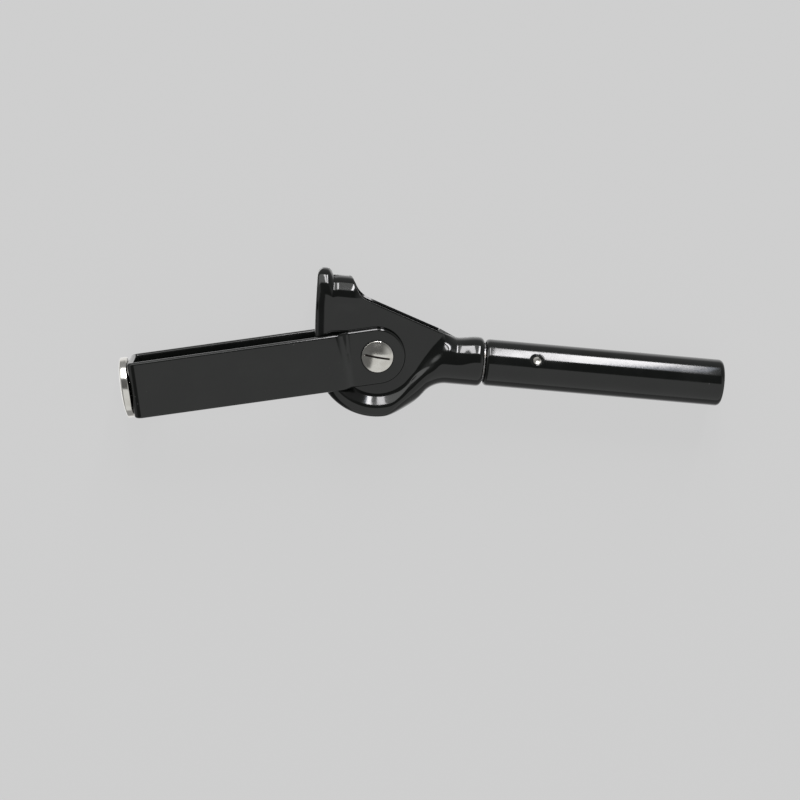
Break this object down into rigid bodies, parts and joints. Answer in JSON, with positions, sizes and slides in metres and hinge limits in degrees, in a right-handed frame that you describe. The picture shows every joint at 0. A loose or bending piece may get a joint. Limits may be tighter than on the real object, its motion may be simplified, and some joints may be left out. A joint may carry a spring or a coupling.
{
  "type": "hinged strap lever",
  "caption": "Tubular handle with a hollow pressed knuckle and a U-shaped strap that swings on a slotted pivot screw, with a round button on its closed end.",
  "frame": {"origin": "on the pivot axis, at the flat face of the plain pivot head, which is the underside as the lever lies on its side", "axes": "+X along the handle tube, away from the pivot; +Y across the lever, towards the knuckle's beak; +Z along the pivot axis, towards the slotted screw head"},
  "size_m": [0.2732, 0.0759, 0.0288],
  "materials": {
    "black_enamel": "glossy black baked enamel over pressed steel, slightly uneven",
    "nickel_plate": "bright nickel plate, lightly handled",
    "plain_steel": "zinc-dull turned steel",
    "bearing_bronze": "turned bronze",
    "black_fibre": "matt black"
  },
  "bodies": {
    "handle": {"near_cheek": "black_enamel", "far_cheek": "black_enamel", "handle_tube": "black_enamel", "handle_spigot": "plain_steel", "handle_end_plug": "black_fibre", "cross_pin": "plain_steel", "pivot_screw": "nickel_plate", "pivot_sleeve": "nickel_plate", "spacer_bush": "plain_steel", "near_flange_bush": "bearing_bronze", "far_flange_bush": "bearing_bronze", "near_head_washer": "black_fibre", "far_head_washer": "black_fibre"},
    "strap": {"strap_yoke": "black_enamel", "end_button": "nickel_plate", "end_washer": "plain_steel", "end_lock_washer": "plain_steel", "end_nut": "plain_steel"}
  },
  "joints": [
    {"name": "strap_hinge", "type": "hinge", "parent": "handle", "child": "strap", "pos_m": [0, 0, 0.0139], "axis": [0, 0, -1], "range_deg": [-152, 178]}
  ]
}
